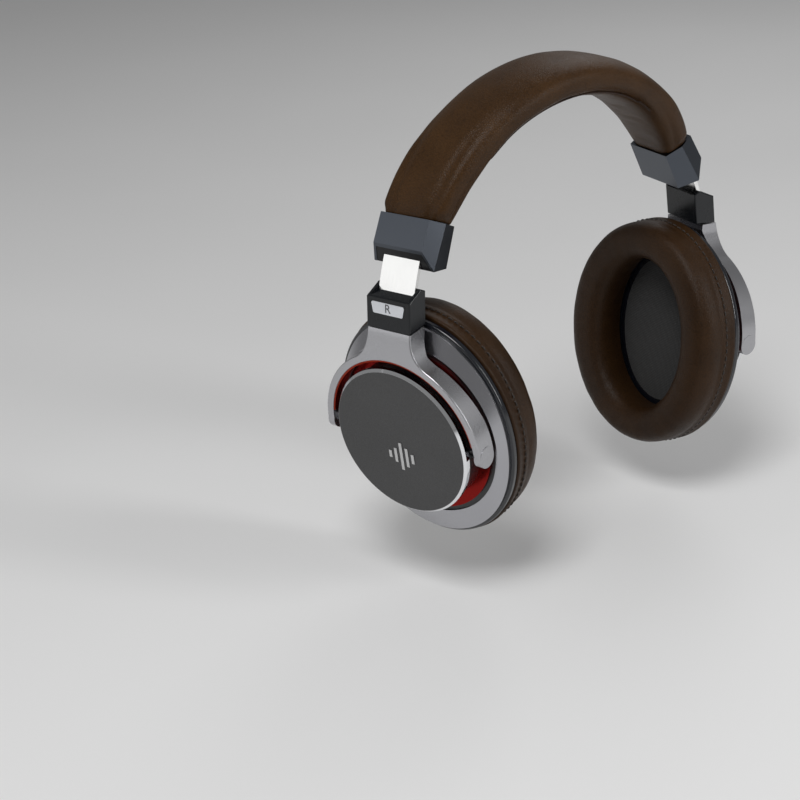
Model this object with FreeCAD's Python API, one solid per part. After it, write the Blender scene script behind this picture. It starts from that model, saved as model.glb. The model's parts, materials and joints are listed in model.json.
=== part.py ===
import FreeCAD, Part
import math
import os

from FreeCAD import Matrix, Rotation, Vector

# Over-ear headphones, millimetres.
# +X is the wearer's left, -Y the way the wearer faces, +Z up.
# The origin is the underside of the headband at the middle of the crown, where it rests on a head or a hook.
# Each ear side is designed as a left side and mirrored for the right one.

# ---- Headband -------------------------------------------------------------------------------------------
BAND_OUTER_R = 77.0
CROWN_THICKNESS = 16.0
END_THICKNESS = 13.4
CROWN_HALF_WIDTH = 18.0
END_HALF_WIDTH = 13.2
BAND_END_ANGLE = 64.5
BAND_CENTRE_Z = CROWN_THICKNESS - BAND_OUTER_R
COVER_THICKNESS = 1.1
SECTION_SQUARENESS = 3.2
SECTION_POINTS = 28
SECTIONS_PER_HALF = 6

SPRING_INNER_R = 65.0
SPRING_THICKNESS = 1.2
SPRING_HALF_WIDTH = 7.0
SPRING_END_ANGLE = 66.0
SPRING_SECTIONS = 14

LEAD_WIRE_R = 0.9
LEAD_PATH_R = 72.0
LEAD_END_ANGLE = 32.0
LEAD_OFFSET_Y = 6.0

# ---- Toe-in: both ends of the band turn toward the front about an upright line through the swivels ---------
TOE = 11.6
TOE_AXIS_X = 80.0
BAND_END_SHIFT = 3.3

# ---- Slider: a strip bent to SLIDE_R that runs in a guide of the same curve -------------------------------
SLIDE_R = 95.0
SLIDE_CENTRE_X = -14.4
SLIDE_CENTRE_Z = -81.3
STRIP_THICKNESS = 1.5
STRIP_HALF_WIDTH = 8.1
STRIP_BOTTOM_ANGLE = 12.3
STRIP_TAIL_ANGLE = 40.0
GUIDE_CLEARANCE = 0.3
GUIDE_WALL = 0.9
GUIDE_BOTTOM_ANGLE = 26.0
GUIDE_TOP_ANGLE = 47.5
DETENT_COUNT = 8
DETENT_FIRST_ANGLE = 25.4
DETENT_STEP_ANGLE = 1.9
DETENT_HALF_ANGLE = 0.35
DETENT_HALF_WIDTH = 0.6
LEAF_FROM_ANGLE = 27.4
LEAF_TO_ANGLE = 34.6
LEAF_HALF_WIDTH = 2.6
LEAF_INNER = 3.6
LEAF_OUTER = 3.0
LEAF_ROOM = 0.6

# ---- End cap: six-sided sleeve whose foot is cut on a slant, with the black guide inside --------------------
CAP_TOP_ANGLE = 64.7
CAP_FOOT_ANGLE = 78.4
CAP_TOP_R = 77.4
CAP_FOOT_R = 80.6
CAP_INNER_TOP_R = 63.4
CAP_INNER_FOOT_R = 64.6
CAP_WIDE_DEPTH = 6.6
CAP_FACE_HALF = 11.0
CAP_WIDE_HALF = 13.6
CAP_INNER_HALF = 12.0
CAP_WALL = 1.1
CAP_GAP = 0.06
CAP_OVERRUN = 1.0
LIP_RECESS = 0.15
SLANT_TOP = (78.8, 73.0)
SLANT_FOOT = (73.8, 78.4)
CAP_SCREW_ANGLE = 70.0
CAP_SCREW_BASE_R = 64.0
CAP_SCREW_R = 0.8
CAP_SCREW_LENGTH = 6.5
CAP_SCREW_HEAD_R = 1.6
CAP_SCREW_HEAD = 1.0
CAP_SCREW_Y = 9.9

# ---- Ear side: position of the outer cap's centre and how it hangs at rest -------------------------------
SIDE_X = 81.4
SIDE_Z = -112.3
SIDE_LEAN = 7.0
REST_SWIVEL = {"right": 0.0, "left": 8.9}
SWIVEL_DEPTH = 7.4
PIVOT_DEPTH = 5.5

# ---- Hinge block (depth behind the outer cap's face, height above its centre) ----------------------------
BLOCK_OUTLINE = [(3.5, 45.2), (5.7, 56.4), (13.2, 58.9), (15.4, 57.4), (12.9, 45.2)]
BLOCK_HALF_WIDTH = 9.9
BLOCK_EDGE = 0.5
NOTCH_HALF_WIDTH = 8.4
NOTCH_FRONT_HEIGHT = 56.5
NOTCH_BACK_HEIGHT = 57.2
PIN_R = 1.6
PIN_TOP = 49.6
PIN_BOTTOM = 39.2
PIN_CLEARANCE = 0.05
CLIP_R = 2.7
CLIP_BOTTOM = 46.6
CLIP_THICKNESS = 0.8
CLIP_MOUTH = 0.9
CLIP_GROOVE = 0.4
CLIP_CHAMBER_R = 3.0
CLIP_CHAMBER_GAP = 0.3
PLATE_THICKNESS = 0.6
PLATE_PROUD = 0.2
PLATE_TOP_HALF_WIDTH = 7.6
PLATE_BOTTOM_HALF_WIDTH = 6.7
PLATE_TOP = 55.0
PLATE_BOTTOM = 50.8
PLATE_ROUND = 0.7
HINGE_SCREW_DEPTH = 14.1
HINGE_SCREW_HEIGHT = 53.2
HINGE_SCREW_Y = 5.4
HINGE_SCREW_R = 0.9
HINGE_SCREW_LENGTH = 6.4
HINGE_SCREW_HEAD_R = 1.7
HINGE_SCREW_HEAD = 0.9
HOLE_GAP = 0.15

# ---- Yoke --------------------------------------------------------------------------------------------------
YOKE_INNER_R = 33.0
YOKE_OUTER_R = 35.9
YOKE_FRONT = 1.4
YOKE_BACK = 9.6
YOKE_TOP_BACK = 7.6
YOKE_TOP = 44.8
YOKE_RELIEF_FROM = 12.0
YOKE_EDGE = 0.45
NECK_HALF_WIDTH = 9.8
NECK_FLARE_R = 13.0
NECK_LEAN_HEIGHT = 32.0
NECK_TOP_FRONT = 3.7
NECK_TOP_BACK = 11.6
NECK_BACK_HEIGHT = 42.4
NECK_ROOT_BACK = 8.2
NECK_ROOT_HEIGHT = 36.0
TIP_R = 4.1
LINER_THICKNESS = 0.6
LINER_FRONT = 1.9
LINER_BACK = 3.7
LINER_BOTTOM = 5.0
PIVOT_R = 1.5
PIVOT_LENGTH = 9.2
PIVOT_HEAD_R = 2.6
PIVOT_HEAD_THICKNESS = 0.9

# ---- Ear cup (depths behind the outer cap's face; ovals sit OVAL_DROP below the cap's centre) ---------------
DISC_R = 30.0
DISC_THICKNESS = 2.6
DISC_CHAMFER = 0.9
BOSS_R = 24.0
BOSS_DEPTH = 5.4
DRUM_R = 29.0
DRUM_FRONT = 3.0
DRUM_WALL = 2.4
DRUM_BACK = 13.2
FLANGE_R = 35.3
FLANGE_FRONT = 11.8
ACCENT_FRONT = 10.7
ACCENT_R = 33.4
DISH_TOP_R = 36.0
DISH_FRONT = 11.2
DISH_EDGE_DEPTH = 14.6
DISH_BACK = 15.6
DISH_HALF_WIDTH = 38.5
DISH_HALF_HEIGHT = 44.6
DISH_WALL = 1.5
POST_R = 2.4
LEDGE_FRONT = 13.3
LEDGE_BACK = 14.2
LEDGE_INNER_R = 31.0
OVAL_DROP = 1.4
RIM_HALF_WIDTH = 40.0
RIM_HALF_HEIGHT = 46.0
RIM_BACK = 18.2
RIM_ROUND = 0.7
PAD_HALF_WIDTH = 41.0
PAD_HALF_HEIGHT = 47.6
PAD_OPEN_HALF_WIDTH = 21.0
PAD_OPEN_HALF_HEIGHT = 30.0
PAD_THICKNESS = 18.4
PAD_OUTER_ROUND = 8.0
PAD_INNER_ROUND = 5.5
PAD_SKIN = 1.2
SCREW_Y = 24.5
SCREW_Z = 29.5
SCREW_R = 0.9
SCREW_HEAD_R = 1.8
SCREW_HEAD = 0.8
SCREW_LENGTH = 3.6

# ---- Driver ------------------------------------------------------------------------------------------------
DRIVER_R = 22.5
DRIVER_FRONT = 12.6
DRIVER_BACK = 16.8
DIAPHRAGM_R = 20.4
MAGNET_R = 15.0
MAGNET_FRONT = 7.4
GRILLE_THICKNESS = 0.8
GRILLE_HOLE_R = 1.3

# ---- 3.5 mm jack socket in the left cup ------------------------------------------------------------------
JACK_BORE_R = 1.78
JACK_BORE_LENGTH = 14.5
JACK_DEPTH = 11.4
JACK_HALF = 3.6
JACK_TOP = -30.6
JACK_MOUTH = -46.4
BOARD_DEPTH = 6.2
BOARD_THICKNESS = 1.0
BOARD_HALF_WIDTH = 6.0
BOARD_BOTTOM = -24.4
BOARD_TOP = -17.4

# ---- Generic mark on the outer cap -------------------------------------------------------------------------
MARK_BAR_WIDTH = 1.3
MARK_BAR_PITCH = 2.6
MARK_BAR_HALF_HEIGHTS = [2.0, 4.0, 5.8, 3.0, 1.5]
MARK_RAISE = 0.25
MARK_DROP = 6.0

REACH = 60.0    # far enough to cut right through any ear-side part


def export(shape, name):
    """Write one named node and stop if any of its solids is unsound."""
    for solid in shape.Solids:
        if not solid.isValid():
            raise ValueError(name + " holds an invalid solid")
    if not shape.Solids:
        raise ValueError(name + " has no solid")
    shape.exportStep("parts/" + name + ".step")


def fused(shapes):
    """Fuse a list of shapes into one solid and merge the seams."""
    body = shapes[0]
    for other in shapes[1:]:
        body = body.fuse(other)
    return body.removeSplitter()


def box(x_min, x_max, y_min, y_max, z_min, z_max):
    return Part.makeBox(x_max - x_min, y_max - y_min, z_max - z_min, Vector(x_min, y_min, z_min))


# ---- Shapes in the headband's plane (X-Z), angles measured from +Z towards +X --------------------------------
def polar(radius, angle, centre_x=0.0, centre_z=BAND_CENTRE_Z):
    turn = math.radians(angle)
    return Vector(centre_x + radius * math.sin(turn), 0, centre_z + radius * math.cos(turn))


def arc_bar(r_in, r_out, angle_from, angle_to, half_width, centre_x=0.0, centre_z=BAND_CENTRE_Z):
    """A flat bar bent round the Y direction, between two radii and two angles."""
    middle = (angle_from + angle_to) / 2

    def at(radius, angle):
        return polar(radius, angle, centre_x, centre_z)

    edges = [
        Part.Arc(at(r_out, angle_from), at(r_out, middle), at(r_out, angle_to)).toShape(),
        Part.makeLine(at(r_out, angle_to), at(r_in, angle_to)),
        Part.Arc(at(r_in, angle_to), at(r_in, middle), at(r_in, angle_from)).toShape(),
        Part.makeLine(at(r_in, angle_from), at(r_out, angle_from)),
    ]
    face = Part.Face(Part.Wire(edges))
    face.translate(Vector(0, -half_width, 0))
    return face.extrude(Vector(0, 2 * half_width, 0))


def slide_bar(offset_in, offset_out, lean_from, lean_to, half_width):
    """A bar along the slider's curve; leans are angles from vertical, offsets are from its middle."""
    return arc_bar(
        SLIDE_R + offset_in, SLIDE_R + offset_out, 90 - lean_to, 90 - lean_from, half_width,
        SLIDE_CENTRE_X, SLIDE_CENTRE_Z,
    )


def toed(shape):
    """Turn a left-hand part toward the front by the band's toe-in."""
    turned = shape.copy()
    turned.rotate(Vector(TOE_AXIS_X, 0, 0), Vector(0, 0, 1), -TOE)
    return turned


def band_frame(angle):
    """The band's sideways shift, across direction and outward direction at one angle."""
    share = min(1.0, abs(angle) / BAND_END_ANGLE)
    spin = Rotation(Vector(0, 0, 1), -math.copysign(TOE * share ** 3, angle))
    shift = Vector(0, BAND_END_SHIFT * share ** 2, 0)
    outward = polar(1.0, angle) - polar(0.0, angle)
    return shift, spin.multVec(Vector(0, 1, 0)), spin.multVec(outward)


def band_section(angle, inset):
    """Closed rounded outline of the padded band at one angle, drawn in from its skin by inset."""
    share = (abs(angle) / BAND_END_ANGLE) ** 2
    half_width = CROWN_HALF_WIDTH + (END_HALF_WIDTH - CROWN_HALF_WIDTH) * share - inset
    half_thick = (CROWN_THICKNESS + (END_THICKNESS - CROWN_THICKNESS) * share) / 2
    shift, across, outward = band_frame(angle)
    middle = polar(BAND_OUTER_R - half_thick, angle) + shift
    power = 2.0 / SECTION_SQUARENESS
    points = []
    for index in range(SECTION_POINTS):
        turn = 2 * math.pi * index / SECTION_POINTS
        cos, sin = math.cos(turn), math.sin(turn)
        sideways = math.copysign(abs(cos) ** power, cos) * half_width
        radial = math.copysign(abs(sin) ** power, sin) * (half_thick - inset)
        points.append(middle + across * sideways + outward * radial)
    curve = Part.BSplineCurve()
    curve.interpolate(points, PeriodicFlag=True)
    return Part.Wire(curve.toShape())


def band_solid(inset):
    wires = []
    for index in range(-SECTIONS_PER_HALF, SECTIONS_PER_HALF + 1):
        wires.append(band_section(BAND_END_ANGLE * index / SECTIONS_PER_HALF, inset))
    return Part.makeLoft(wires, True, False)


def headband_spring():
    """Sprung steel strip that follows the band's bend and toe-in."""
    wires = []
    for index in range(-SPRING_SECTIONS, SPRING_SECTIONS + 1):
        angle = SPRING_END_ANGLE * index / SPRING_SECTIONS
        shift, across, outward = band_frame(angle)
        root = polar(SPRING_INNER_R, angle) + shift
        side, up = across * SPRING_HALF_WIDTH, outward * SPRING_THICKNESS
        corners = [root - side, root + side, root + side + up, root - side + up]
        wires.append(Part.makePolygon(corners + [corners[0]]))
    return Part.makeLoft(wires, True, True)


def signal_lead():
    """The wire that carries the right channel across the band, above the spring."""
    start = polar(LEAD_PATH_R, -LEAD_END_ANGLE) + Vector(0, LEAD_OFFSET_Y, 0)
    top = polar(LEAD_PATH_R, 0) + Vector(0, LEAD_OFFSET_Y, 0)
    end = polar(LEAD_PATH_R, LEAD_END_ANGLE) + Vector(0, LEAD_OFFSET_Y, 0)
    path = Part.Wire(Part.Arc(start, top, end).toShape())
    along = path.Edges[0].tangentAt(path.Edges[0].FirstParameter)
    ring = Part.Wire(Part.makeCircle(LEAD_WIRE_R, path.Edges[0].Vertexes[0].Point, along))
    return path.makePipeShell([ring], True, True)


def cap_section(angle, face_r, inner_r, inset):
    """Six-sided outline across the end cap: flat outer face, slanted facets, then cheeks that draw in."""
    wide_r = face_r - CAP_WIDE_DEPTH
    corners = [
        (face_r - inset, CAP_FACE_HALF - inset / 2), (wide_r, CAP_WIDE_HALF - inset),
        (inner_r + inset, CAP_INNER_HALF - inset),
    ]
    outline = corners + [(radius, -across) for radius, across in reversed(corners)]
    points = [polar(radius, angle) + Vector(0, across, 0) for radius, across in outline]
    return Part.makePolygon(points + [points[0]])


def cap_body(inset, overrun):
    """Solid sleeve shape of the cap, drawn in by inset and running past both ends by an angle."""
    wires = []
    for angle in (CAP_TOP_ANGLE - overrun, CAP_FOOT_ANGLE + overrun):
        share = (angle - CAP_TOP_ANGLE) / (CAP_FOOT_ANGLE - CAP_TOP_ANGLE)
        face_r = CAP_TOP_R + (CAP_FOOT_R - CAP_TOP_R) * share
        inner_r = CAP_INNER_TOP_R + (CAP_INNER_FOOT_R - CAP_INNER_TOP_R) * share
        wires.append(cap_section(angle, face_r, inner_r, inset))
    return Part.makeLoft(wires, True, True)


def slant_tool(lift):
    """Everything outside the slanted foot; lift moves the cut outward."""
    top, foot = polar(*SLANT_TOP), polar(*SLANT_FOOT)
    along = (foot - top).normalize()
    away = Vector(-along.z, 0, along.x)
    start, end = top - along * REACH + away * lift, foot + along * REACH + away * lift
    corners = [start, end, end + away * REACH, start + away * REACH]
    face = Part.Face(Part.makePolygon(corners + [corners[0]]))
    face.translate(Vector(0, -REACH, 0))
    return face.extrude(Vector(0, 2 * REACH, 0))


def screw(base, direction, shank_r, shank_length, head_r, head_height):
    """A plain screw: head at base, shank running along direction."""
    head = Part.makeCylinder(head_r, head_height, base, direction)
    shank = Part.makeCylinder(shank_r, shank_length, base + direction * head_height, direction)
    return head.fuse(shank).removeSplitter()


def cap_screws():
    """Two screws that enter the cap from the head side."""
    outward = polar(1.0, CAP_SCREW_ANGLE) - polar(0.0, CAP_SCREW_ANGLE)
    screws = []
    for side in (-1, 1):
        base = polar(CAP_SCREW_BASE_R, CAP_SCREW_ANGLE) + Vector(0, side * CAP_SCREW_Y, 0)
        screws.append(screw(base, outward, CAP_SCREW_R, CAP_SCREW_LENGTH, CAP_SCREW_HEAD_R, CAP_SCREW_HEAD))
    return Part.makeCompound(screws)


def end_cap():
    shell = cap_body(0.0, 0.0).cut(slant_tool(0.0))
    shell = shell.cut(cap_body(CAP_WALL, CAP_OVERRUN))
    for item in cap_screws().Solids:
        shell = shell.cut(item)
    return shell


def guide_core(offset, half_width, lean_from, lean_to):
    return slide_bar(-offset, offset, lean_from, lean_to, half_width)


def slider_guide():
    """Black insert: the plug that fills the end cap, and the sleeve the strip slides in."""
    plug = cap_body(CAP_WALL + CAP_GAP, CAP_OVERRUN).common(cap_body(0.0, 0.0)).cut(slant_tool(-LIP_RECESS))
    run = STRIP_THICKNESS / 2 + GUIDE_CLEARANCE
    slot_half = STRIP_HALF_WIDTH + GUIDE_CLEARANCE
    sleeve = guide_core(run + GUIDE_WALL, slot_half + GUIDE_WALL, GUIDE_BOTTOM_ANGLE, GUIDE_TOP_ANGLE)
    body = fused([plug, sleeve])
    body = body.cut(guide_core(run, slot_half, STRIP_BOTTOM_ANGLE, GUIDE_TOP_ANGLE + 2))
    body = body.cut(untoed(headband_spring()))
    for item in cap_screws().Solids:
        body = body.cut(item)
    return body.cut(detent_pocket())


def detent_pocket():
    """Room in the guide for the leaf that clicks into the strip."""
    return slide_bar(
        -LEAF_INNER - LEAF_ROOM, -STRIP_THICKNESS / 2 - 0.1,
        LEAF_FROM_ANGLE - LEAF_ROOM, LEAF_TO_ANGLE + LEAF_ROOM, LEAF_HALF_WIDTH + LEAF_ROOM,
    )


def detent_spring():
    middle = (LEAF_FROM_ANGLE + LEAF_TO_ANGLE) / 2
    leaf = slide_bar(-LEAF_INNER, -LEAF_OUTER, LEAF_FROM_ANGLE, LEAF_TO_ANGLE, LEAF_HALF_WIDTH)
    bump = slide_bar(
        -LEAF_OUTER - 0.2, -STRIP_THICKNESS / 2 - 0.15,
        middle - DETENT_HALF_ANGLE, middle + DETENT_HALF_ANGLE, DETENT_HALF_WIDTH,
    )
    return leaf.fuse(bump).removeSplitter()


def headband_parts():
    """The leather cover and the foam core, with room left in the foam for what runs through it."""
    core = band_solid(COVER_THICKNESS)
    cover = band_solid(0.0).cut(core)
    around = STRIP_THICKNESS / 2 + GUIDE_CLEARANCE + GUIDE_WALL + 0.1
    beside = STRIP_HALF_WIDTH + GUIDE_CLEARANCE + GUIDE_WALL + 0.1
    sleeve_room = guide_core(around, beside, GUIDE_BOTTOM_ANGLE - 4, GUIDE_TOP_ANGLE + 0.5)
    leaf_room = slide_bar(
        -LEAF_INNER - LEAF_ROOM - 0.2, 0.0,
        LEAF_FROM_ANGLE - LEAF_ROOM - 1, LEAF_TO_ANGLE + LEAF_ROOM + 1, LEAF_HALF_WIDTH + LEAF_ROOM + 0.2,
    )
    foam = core.cut(headband_spring()).cut(signal_lead())
    for tool in (toed(sleeve_room), toed(leaf_room)):
        foam = foam.cut(tool).cut(mirrored(tool))
    return cover, foam


# ---- Slider body -------------------------------------------------------------------------------------------
def slider_strip():
    strip = guide_core(STRIP_THICKNESS / 2, STRIP_HALF_WIDTH, STRIP_BOTTOM_ANGLE, STRIP_TAIL_ANGLE)
    for index in range(DETENT_COUNT):
        lean = DETENT_FIRST_ANGLE + index * DETENT_STEP_ANGLE
        notch = slide_bar(
            -STRIP_THICKNESS, STRIP_THICKNESS,
            lean - DETENT_HALF_ANGLE, lean + DETENT_HALF_ANGLE, DETENT_HALF_WIDTH,
        )
        strip = strip.cut(notch)
    for y in (-HINGE_SCREW_Y, HINGE_SCREW_Y):
        hole = Part.makeCylinder(
            HINGE_SCREW_R + HOLE_GAP, HINGE_SCREW_DEPTH, Vector(-HINGE_SCREW_DEPTH, y, HINGE_SCREW_HEIGHT),
            Vector(1, 0, 0),
        )
        strip = strip.cut(hole.transformed(side_matrix(), True))
    return strip


# ---- Ear-side frame: x outward from the cap's face, y fore and aft, z up ---------------------------------
def oval_wire(depth, half_width, half_height, drop=OVAL_DROP):
    centre = Vector(-depth, 0, -drop)
    ellipse = Part.Ellipse(centre + Vector(0, 0, half_height), centre + Vector(0, half_width, 0), centre)
    return Part.Wire(ellipse.toShape())


def oval_plate(front, back, half_width, half_height, drop=OVAL_DROP):
    face = Part.Face(oval_wire(back, half_width, half_height, drop))
    return face.extrude(Vector(back - front, 0, 0))


def disc(front, back, radius, y=0.0, z=0.0):
    return Part.makeCylinder(radius, back - front, Vector(-back, y, z), Vector(1, 0, 0))


def ring(front, back, inner_r, outer_r):
    return disc(front, back, outer_r).cut(disc(front - 1, back + 1, inner_r))


def side_profile(points, half_width):
    """Extrude a (depth, height) outline across the side's y direction."""
    corners = [Vector(-depth, -half_width, height) for depth, height in points]
    face = Part.Face(Part.makePolygon(corners + [corners[0]]))
    return face.extrude(Vector(0, 2 * half_width, 0))


def swivel_cylinder(radius, bottom, top):
    return Part.makeCylinder(radius, top - bottom, Vector(-SWIVEL_DEPTH, 0, bottom))


def face_depth(height):
    """Depth of the hinge block's outer face at a height."""
    (low_depth, low), (high_depth, high) = BLOCK_OUTLINE[0], BLOCK_OUTLINE[1]
    return low_depth + (high_depth - low_depth) * (height - low) / (high - low)


def plate_solid(gap, proud):
    """Trapezoid let into the block's outer face; gap grows it and proud lifts it off the face."""
    low, high = PLATE_BOTTOM - gap, PLATE_TOP + gap
    low_half, high_half = PLATE_BOTTOM_HALF_WIDTH + gap, PLATE_TOP_HALF_WIDTH + gap
    wires = []
    for lift in (proud, -PLATE_THICKNESS):
        low_x, high_x = lift - face_depth(low), lift - face_depth(high)
        corners = [
            Vector(low_x, -low_half, low), Vector(low_x, low_half, low),
            Vector(high_x, high_half, high), Vector(high_x, -high_half, high),
        ]
        wires.append(Part.makePolygon(corners + [corners[0]]))
    return Part.makeLoft(wires, True, True)


def hinge_screws():
    """Two screws from the head side that clamp the strip in the block."""
    screws = []
    for y in (-HINGE_SCREW_Y, HINGE_SCREW_Y):
        base = Vector(-HINGE_SCREW_DEPTH, y, HINGE_SCREW_HEIGHT)
        outward = Vector(1, 0, 0)
        item = screw(base, outward, HINGE_SCREW_R, HINGE_SCREW_LENGTH, HINGE_SCREW_HEAD_R, HINGE_SCREW_HEAD)
        screws.append(item)
    return Part.makeCompound(screws)


def hinge_block():
    """Black block that holds the strip's foot and the swivel pin; its top has an ear on each side."""
    block = side_profile(BLOCK_OUTLINE, BLOCK_HALF_WIDTH)
    rims = [edge for edge in block.Edges if abs(abs(edge.CenterOfMass.y) - BLOCK_HALF_WIDTH) < 0.01]
    block = block.makeFillet(BLOCK_EDGE, rims)
    front, back, above = BLOCK_OUTLINE[1][0] - 3, BLOCK_OUTLINE[3][0] + 3, BLOCK_OUTLINE[2][1] + 5
    notch = [(front, NOTCH_FRONT_HEIGHT), (back, NOTCH_BACK_HEIGHT), (back, above), (front, above)]
    block = block.cut(side_profile(notch, NOTCH_HALF_WIDTH))
    strip = guide_core(STRIP_THICKNESS / 2, STRIP_HALF_WIDTH, STRIP_BOTTOM_ANGLE, STRIP_TAIL_ANGLE)
    block = block.cut(strip.transformed(side_matrix().inverse(), True))
    block = block.cut(swivel_cylinder(PIN_R + PIN_CLEARANCE, BLOCK_OUTLINE[0][1] - 1, PIN_TOP + 0.4))
    chamber_bottom = CLIP_BOTTOM - CLIP_CHAMBER_GAP
    chamber_top = CLIP_BOTTOM + CLIP_THICKNESS + CLIP_CHAMBER_GAP
    block = block.cut(swivel_cylinder(CLIP_CHAMBER_R, chamber_bottom, chamber_top))
    block = block.cut(plate_solid(0.05, 1.0))
    for item in hinge_screws().Solids:
        block = block.cut(item)
    return block


def side_plate():
    """Silver plate let into the block, its corners rounded."""
    plate = plate_solid(0.0, PLATE_PROUD)
    corners = [edge for edge in plate.Edges if abs(edge.Length - PLATE_THICKNESS - PLATE_PROUD) < 0.05]
    return plate.makeFillet(PLATE_ROUND, corners)


# ---- Yoke body -----------------------------------------------------------------------------------------------
def swivel_pin():
    pin = swivel_cylinder(PIN_R, PIN_BOTTOM, PIN_TOP)
    groove = swivel_cylinder(PIN_R + 1, CLIP_BOTTOM, CLIP_BOTTOM + CLIP_THICKNESS)
    groove = groove.cut(swivel_cylinder(PIN_R - CLIP_GROOVE, CLIP_BOTTOM, CLIP_BOTTOM + CLIP_THICKNESS))
    return pin.cut(groove)


def swivel_clip():
    clip = swivel_cylinder(CLIP_R, CLIP_BOTTOM, CLIP_BOTTOM + CLIP_THICKNESS)
    clip = clip.cut(swivel_cylinder(PIN_R - CLIP_GROOVE, CLIP_BOTTOM - 1, CLIP_BOTTOM + CLIP_THICKNESS + 1))
    mouth = box(
        -SWIVEL_DEPTH - 2 * CLIP_R, -SWIVEL_DEPTH, -CLIP_MOUTH, CLIP_MOUTH, CLIP_BOTTOM - 1, CLIP_BOTTOM + 2
    )
    return clip.cut(mouth)


def yoke_front_face():
    """Front view of the yoke: a half ring whose top flares in tangent arcs into the neck."""
    flare_y = NECK_HALF_WIDTH + NECK_FLARE_R
    flare_reach = YOKE_OUTER_R + NECK_FLARE_R
    flare_z = math.sqrt(flare_reach ** 2 - flare_y ** 2)
    edges = [Part.makeLine(Vector(0, -NECK_HALF_WIDTH, YOKE_TOP), Vector(0, NECK_HALF_WIDTH, YOKE_TOP))]
    for side in (-1, 1):
        shoulder = Vector(0, side * NECK_HALF_WIDTH, YOKE_TOP)
        waist = Vector(0, side * NECK_HALF_WIDTH, flare_z)
        centre = Vector(0, side * flare_y, flare_z)
        foot = centre * (YOKE_OUTER_R / flare_reach)
        inward = (waist - centre) + (foot - centre)
        outer_end = Vector(0, side * YOKE_OUTER_R, 0)
        inner_end = Vector(0, side * YOKE_INNER_R, 0)
        halfway = (foot + outer_end).normalize() * YOKE_OUTER_R
        edges.append(Part.makeLine(shoulder, waist))
        edges.append(Part.Arc(waist, centre + inward.normalize() * NECK_FLARE_R, foot).toShape())
        edges.append(Part.Arc(foot, halfway, outer_end).toShape())
        edges.append(Part.makeLine(outer_end, inner_end))
    inner_ends = [Vector(0, side * YOKE_INNER_R, 0) for side in (-1, 1)]
    edges.append(Part.Arc(inner_ends[0], Vector(0, 0, YOKE_INNER_R), inner_ends[1]).toShape())
    return Part.Face(Part.Wire(Part.__sortEdges__(edges)))


def yoke_side_face():
    """Side view of the yoke: the front leans back up the neck in an arc, the back steps in behind the arch."""
    lean_from = Vector(-YOKE_FRONT, 0, NECK_LEAN_HEIGHT)
    lean_to = Vector(-NECK_TOP_FRONT, 0, YOKE_TOP)
    across, rise = YOKE_FRONT - NECK_TOP_FRONT, YOKE_TOP - NECK_LEAN_HEIGHT
    lean_r = (across ** 2 + rise ** 2) / (2 * abs(across))
    half_turn = math.asin(rise / lean_r) / 2
    lean_middle = lean_from + Vector(-lean_r * (1 - math.cos(half_turn)), 0, lean_r * math.sin(half_turn))
    back = [
        (NECK_TOP_FRONT, YOKE_TOP), (NECK_TOP_BACK, YOKE_TOP), (NECK_TOP_BACK, NECK_BACK_HEIGHT),
        (NECK_ROOT_BACK, NECK_ROOT_HEIGHT), (YOKE_TOP_BACK, YOKE_OUTER_R - 1), (YOKE_BACK, YOKE_RELIEF_FROM),
        (YOKE_BACK, 0), (YOKE_FRONT, 0), (YOKE_FRONT, NECK_LEAN_HEIGHT),
    ]
    outline = Part.makePolygon([Vector(-depth, 0, height) for depth, height in back])
    return Part.Face(Part.Wire([Part.Arc(lean_from, lean_middle, lean_to).toShape()] + outline.Edges))


def pivot_pins():
    pins = []
    for side in (-1, 1):
        base = Vector(-PIVOT_DEPTH, side * (YOKE_OUTER_R - 0.1), 0)
        pins.append(screw(base, Vector(0, -side, 0), PIVOT_R, PIVOT_LENGTH, PIVOT_HEAD_R, PIVOT_HEAD_THICKNESS))
    return Part.makeCompound(pins)


def yoke():
    front_view = yoke_front_face().extrude(Vector(-REACH, 0, 0))
    side_view = yoke_side_face()
    side_view.translate(Vector(0, -REACH, 0))
    body = front_view.common(side_view.extrude(Vector(0, 2 * REACH, 0)))
    body = body.makeFillet(YOKE_EDGE, [edge for edge in body.Edges if on_yoke_rim(edge)])
    for side in (-1, 1):
        inner = min(side * YOKE_INNER_R, side * YOKE_OUTER_R)
        foot = Vector(-PIVOT_DEPTH, inner, 0)
        tip = Part.makeCylinder(TIP_R, YOKE_OUTER_R - YOKE_INNER_R, foot, Vector(0, 1, 0))
        body = body.fuse(tip)
    body = body.cut(swivel_cylinder(PIN_R, PIN_BOTTOM, REACH))
    for item in pivot_pins().Solids:
        body = body.cut(item)
    return body


def on_yoke_rim(edge):
    """Edges round the yoke's front, apart from its flat top, its ends and the line where the lean starts."""
    bounds = edge.BoundBox
    in_front = bounds.XMin > -NECK_TOP_FRONT - 0.05
    level = bounds.ZLength < 0.05
    return in_front and not level


def yoke_liner():
    band = ring(LINER_FRONT, LINER_BACK, YOKE_INNER_R - LINER_THICKNESS, YOKE_INNER_R)
    return band.common(box(-REACH, REACH, -REACH, REACH, LINER_BOTTOM, REACH))


# ---- Cup body ------------------------------------------------------------------------------------------------
def outer_cap():
    plate = disc(0, DISC_THICKNESS, DISC_R)
    front_edge = [edge for edge in plate.Edges if abs(edge.CenterOfMass.x) < 0.01]
    plate = plate.makeChamfer(DISC_CHAMFER, front_edge)
    return plate.fuse(disc(DISC_THICKNESS, BOSS_DEPTH, BOSS_R)).removeSplitter()


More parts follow.
